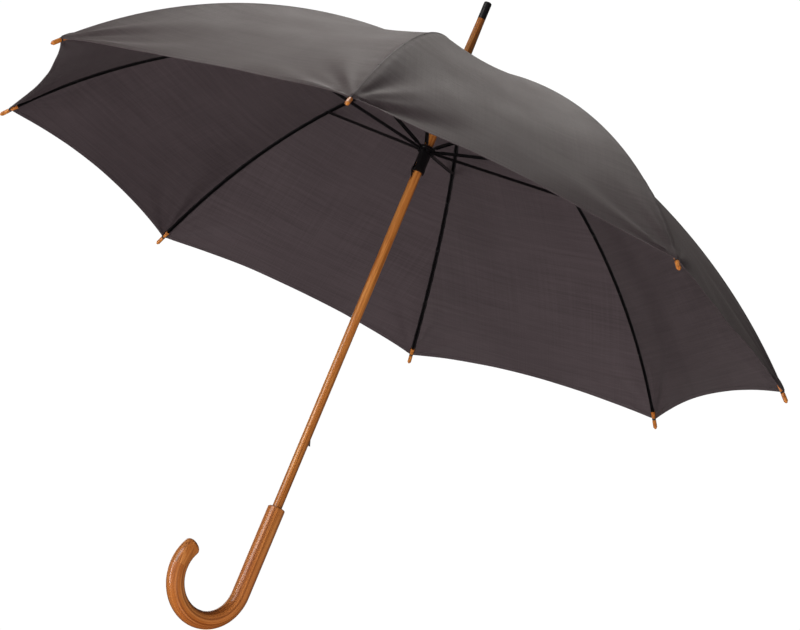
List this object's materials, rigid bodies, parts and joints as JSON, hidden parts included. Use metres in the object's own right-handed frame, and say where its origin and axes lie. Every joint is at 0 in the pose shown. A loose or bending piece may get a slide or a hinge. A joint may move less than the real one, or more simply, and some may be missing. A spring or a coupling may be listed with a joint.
{
  "type": "stick umbrella",
  "caption": "Manual stick umbrella with a round cloth canopy on folding channel ribs, a wooden shaft, a bent wooden crook handle, a sliding runner and turned wooden tips.",
  "frame": {"origin": "on the shaft's axis, half way up the straight part of the handle, where a hand or a holder grips it", "axes": "+Z along the shaft towards the ferrule; the hook lies in the XZ plane and turns towards +X; rib 1 lies over the hook, and the others follow every 45 degrees"},
  "size_m": [1.081, 1.081, 0.8957],
  "materials": {
    "shaft_wood": "lacquered, gloss",
    "handle_wood": "lacquered, gloss",
    "tip_wood": "lacquered, satin",
    "black_steel": "black, satin",
    "bright_wire": "drawn wire",
    "cap_black": "satin",
    "canopy_cloth": "tight plain weave with a slight sheen"
  },
  "bodies": {
    "root": {"shaft": "shaft_wood", "handle": "handle_wood", "ferrule_cap": "cap_black", "crown_notch": "black_steel", "crown_wire": "bright_wire", "crown_pin": "bright_wire", "top_washer": "cap_black", "stop_staple": "black_steel", "top_catch_pin": "bright_wire", "bottom_catch_pin": "bright_wire"},
    "rib_1": {"rib_inner_1": "black_steel", "canopy_gore_1": "canopy_cloth"},
    "rib_end_1": {"rib_outer_1": "black_steel", "rib_tip_1": "tip_wood"},
    "stretcher_1": {"stretcher_1": "black_steel"},
    "rib_2": {"rib_inner_2": "black_steel", "canopy_gore_2": "canopy_cloth"},
    "rib_end_2": {"rib_outer_2": "black_steel", "rib_tip_2": "tip_wood"},
    "stretcher_2": {"stretcher_2": "black_steel"},
    "rib_3": {"rib_inner_3": "black_steel", "canopy_gore_3": "canopy_cloth"},
    "rib_end_3": {"rib_outer_3": "black_steel", "rib_tip_3": "tip_wood"},
    "stretcher_3": {"stretcher_3": "black_steel"},
    "rib_4": {"rib_inner_4": "black_steel", "canopy_gore_4": "canopy_cloth"},
    "rib_end_4": {"rib_outer_4": "black_steel", "rib_tip_4": "tip_wood"},
    "stretcher_4": {"stretcher_4": "black_steel"},
    "rib_5": {"rib_inner_5": "black_steel", "canopy_gore_5": "canopy_cloth"},
    "rib_end_5": {"rib_outer_5": "black_steel", "rib_tip_5": "tip_wood"},
    "stretcher_5": {"stretcher_5": "black_steel"},
    "rib_6": {"rib_inner_6": "black_steel", "canopy_gore_6": "canopy_cloth"},
    "rib_end_6": {"rib_outer_6": "black_steel", "rib_tip_6": "tip_wood", "tie_strap": "canopy_cloth", "strap_stud": "cap_black"},
    "stretcher_6": {"stretcher_6": "black_steel"},
    "rib_7": {"rib_inner_7": "black_steel", "canopy_gore_7": "canopy_cloth"},
    "rib_end_7": {"rib_outer_7": "black_steel", "rib_tip_7": "tip_wood"},
    "stretcher_7": {"stretcher_7": "black_steel"},
    "rib_8": {"rib_inner_8": "black_steel", "canopy_gore_8": "canopy_cloth"},
    "rib_end_8": {"rib_outer_8": "black_steel", "rib_tip_8": "tip_wood"},
    "stretcher_8": {"stretcher_8": "black_steel"},
    "runner": {"runner": "black_steel", "runner_wire": "bright_wire"},
    "top_catch": {"top_catch": "black_steel"},
    "bottom_catch": {"bottom_catch": "bright_wire"}
  },
  "joints": [
    {"name": "rib_1_fold", "type": "hinge", "parent": "root", "child": "rib_1", "pos_m": [0.0096, 0, 0.678], "axis": [0, 1, 0], "range_deg": [0, 74.5], "deforming": ["canopy_gore_1", "canopy_gore_2", "canopy_gore_3", "canopy_gore_4", "canopy_gore_5", "canopy_gore_6", "canopy_gore_7", "canopy_gore_8", "tie_strap", "strap_stud", "top_catch", "bottom_catch"]},
    {"name": "rib_2_fold", "type": "hinge", "parent": "root", "child": "rib_2", "pos_m": [0.00679, 0.00679, 0.678], "axis": [-0.7071, 0.7071, 0], "range_deg": [0, 74.5]},
    {"name": "rib_3_fold", "type": "hinge", "parent": "root", "child": "rib_3", "pos_m": [0, 0.0096, 0.678], "axis": [-1, 0, 0], "range_deg": [0, 74.5]},
    {"name": "rib_4_fold", "type": "hinge", "parent": "root", "child": "rib_4", "pos_m": [-0.00679, 0.00679, 0.678], "axis": [-0.7071, -0.7071, 0], "range_deg": [0, 74.5]},
    {"name": "rib_5_fold", "type": "hinge", "parent": "root", "child": "rib_5", "pos_m": [-0.0096, 0, 0.678], "axis": [0, -1, 0], "range_deg": [0, 74.5]},
    {"name": "rib_6_fold", "type": "hinge", "parent": "root", "child": "rib_6", "pos_m": [-0.00679, -0.00679, 0.678], "axis": [0.7071, -0.7071, 0], "range_deg": [0, 74.5]},
    {"name": "rib_7_fold", "type": "hinge", "parent": "root", "child": "rib_7", "pos_m": [0, -0.0096, 0.678], "axis": [1, 0, 0], "range_deg": [0, 74.5]},
    {"name": "rib_8_fold", "type": "hinge", "parent": "root", "child": "rib_8", "pos_m": [0.00679, -0.00679, 0.678], "axis": [0.7071, 0.7071, 0], "range_deg": [0, 74.5]},
    {"name": "rib_1_flex", "type": "hinge", "parent": "rib_1", "child": "rib_end_1", "pos_m": [0.25366, 0, 0.61862], "axis": [0, 1, 0], "range_deg": [-19.7, 0]},
    {"name": "stretcher_1_turn", "type": "hinge", "parent": "rib_1", "child": "stretcher_1", "pos_m": [0.25366, 0, 0.61862], "axis": [0, 1, 0], "range_deg": [-149, 0]},
    {"name": "rib_2_flex", "type": "hinge", "parent": "rib_2", "child": "rib_end_2", "pos_m": [0.17937, 0.17937, 0.61862], "axis": [-0.7071, 0.7071, 0], "range_deg": [-19.7, 0]},
    {"name": "stretcher_2_turn", "type": "hinge", "parent": "rib_2", "child": "stretcher_2", "pos_m": [0.17937, 0.17937, 0.61862], "axis": [-0.7071, 0.7071, 0], "range_deg": [-149, 0]},
    {"name": "rib_3_flex", "type": "hinge", "parent": "rib_3", "child": "rib_end_3", "pos_m": [0, 0.25366, 0.61862], "axis": [-1, 0, 0], "range_deg": [-19.7, 0]},
    {"name": "stretcher_3_turn", "type": "hinge", "parent": "rib_3", "child": "stretcher_3", "pos_m": [0, 0.25366, 0.61862], "axis": [-1, 0, 0], "range_deg": [-149, 0]},
    {"name": "rib_4_flex", "type": "hinge", "parent": "rib_4", "child": "rib_end_4", "pos_m": [-0.17937, 0.17937, 0.61862], "axis": [-0.7071, -0.7071, 0], "range_deg": [-19.7, 0]},
    {"name": "stretcher_4_turn", "type": "hinge", "parent": "rib_4", "child": "stretcher_4", "pos_m": [-0.17937, 0.17937, 0.61862], "axis": [-0.7071, -0.7071, 0], "range_deg": [-149, 0]},
    {"name": "rib_5_flex", "type": "hinge", "parent": "rib_5", "child": "rib_end_5", "pos_m": [-0.25366, 0, 0.61862], "axis": [0, -1, 0], "range_deg": [-19.7, 0]},
    {"name": "stretcher_5_turn", "type": "hinge", "parent": "rib_5", "child": "stretcher_5", "pos_m": [-0.25366, 0, 0.61862], "axis": [0, -1, 0], "range_deg": [-149, 0]},
    {"name": "rib_6_flex", "type": "hinge", "parent": "rib_6", "child": "rib_end_6", "pos_m": [-0.17937, -0.17937, 0.61862], "axis": [0.7071, -0.7071, 0], "range_deg": [-19.7, 0]},
    {"name": "stretcher_6_turn", "type": "hinge", "parent": "rib_6", "child": "stretcher_6", "pos_m": [-0.17937, -0.17937, 0.61862], "axis": [0.7071, -0.7071, 0], "range_deg": [-149, 0]},
    {"name": "rib_7_flex", "type": "hinge", "parent": "rib_7", "child": "rib_end_7", "pos_m": [0, -0.25366, 0.61862], "axis": [1, 0, 0], "range_deg": [-19.7, 0]},
    {"name": "stretcher_7_turn", "type": "hinge", "parent": "rib_7", "child": "stretcher_7", "pos_m": [0, -0.25366, 0.61862], "axis": [1, 0, 0], "range_deg": [-149, 0]},
    {"name": "rib_8_flex", "type": "hinge", "parent": "rib_8", "child": "rib_end_8", "pos_m": [0.17937, -0.17937, 0.61862], "axis": [0.7071, 0.7071, 0], "range_deg": [-19.7, 0]},
    {"name": "stretcher_8_turn", "type": "hinge", "parent": "rib_8", "child": "stretcher_8", "pos_m": [0.17937, -0.17937, 0.61862], "axis": [0.7071, 0.7071, 0], "range_deg": [-149, 0]},
    {"name": "runner_travel", "type": "hinge", "parent": "stretcher_1", "child": "runner", "pos_m": [0.0096, 0, 0.55923], "axis": [0, 1, 0], "range_deg": [0, 74.5]},
    {"name": "top_catch_press", "type": "hinge", "parent": "root", "child": "top_catch", "pos_m": [0, 0, 0.55], "axis": [0, 1, 0], "range_deg": [0, 8], "stiffness_Nm_per_rad": 0.9, "springref_deg": -5.73},
    {"name": "bottom_catch_press", "type": "hinge", "parent": "root", "child": "bottom_catch", "pos_m": [0, 0, 0.118], "axis": [0, 1, 0], "range_deg": [0, 8], "stiffness_Nm_per_rad": 0.9, "springref_deg": -5.73}
  ],
  "couplings": [
    {"joint": "rib_1_flex", "follows": "rib_1_fold", "ratio": -0.2643},
    {"joint": "stretcher_1_turn", "follows": "rib_1_fold", "ratio": -2},
    {"joint": "rib_2_fold", "follows": "rib_1_fold", "ratio": 1},
    {"joint": "rib_2_flex", "follows": "rib_1_fold", "ratio": -0.2643},
    {"joint": "stretcher_2_turn", "follows": "rib_1_fold", "ratio": -2},
    {"joint": "rib_3_fold", "follows": "rib_1_fold", "ratio": 1},
    {"joint": "rib_3_flex", "follows": "rib_1_fold", "ratio": -0.2643},
    {"joint": "stretcher_3_turn", "follows": "rib_1_fold", "ratio": -2},
    {"joint": "rib_4_fold", "follows": "rib_1_fold", "ratio": 1},
    {"joint": "rib_4_flex", "follows": "rib_1_fold", "ratio": -0.2643},
    {"joint": "stretcher_4_turn", "follows": "rib_1_fold", "ratio": -2},
    {"joint": "rib_5_fold", "follows": "rib_1_fold", "ratio": 1},
    {"joint": "rib_5_flex", "follows": "rib_1_fold", "ratio": -0.2643},
    {"joint": "stretcher_5_turn", "follows": "rib_1_fold", "ratio": -2},
    {"joint": "rib_6_fold", "follows": "rib_1_fold", "ratio": 1},
    {"joint": "rib_6_flex", "follows": "rib_1_fold", "ratio": -0.2643},
    {"joint": "stretcher_6_turn", "follows": "rib_1_fold", "ratio": -2},
    {"joint": "rib_7_fold", "follows": "rib_1_fold", "ratio": 1},
    {"joint": "rib_7_flex", "follows": "rib_1_fold", "ratio": -0.2643},
    {"joint": "stretcher_7_turn", "follows": "rib_1_fold", "ratio": -2},
    {"joint": "rib_8_fold", "follows": "rib_1_fold", "ratio": 1},
    {"joint": "rib_8_flex", "follows": "rib_1_fold", "ratio": -0.2643},
    {"joint": "stretcher_8_turn", "follows": "rib_1_fold", "ratio": -2},
    {"joint": "runner_travel", "follows": "rib_1_fold", "ratio": 1}
  ]
}
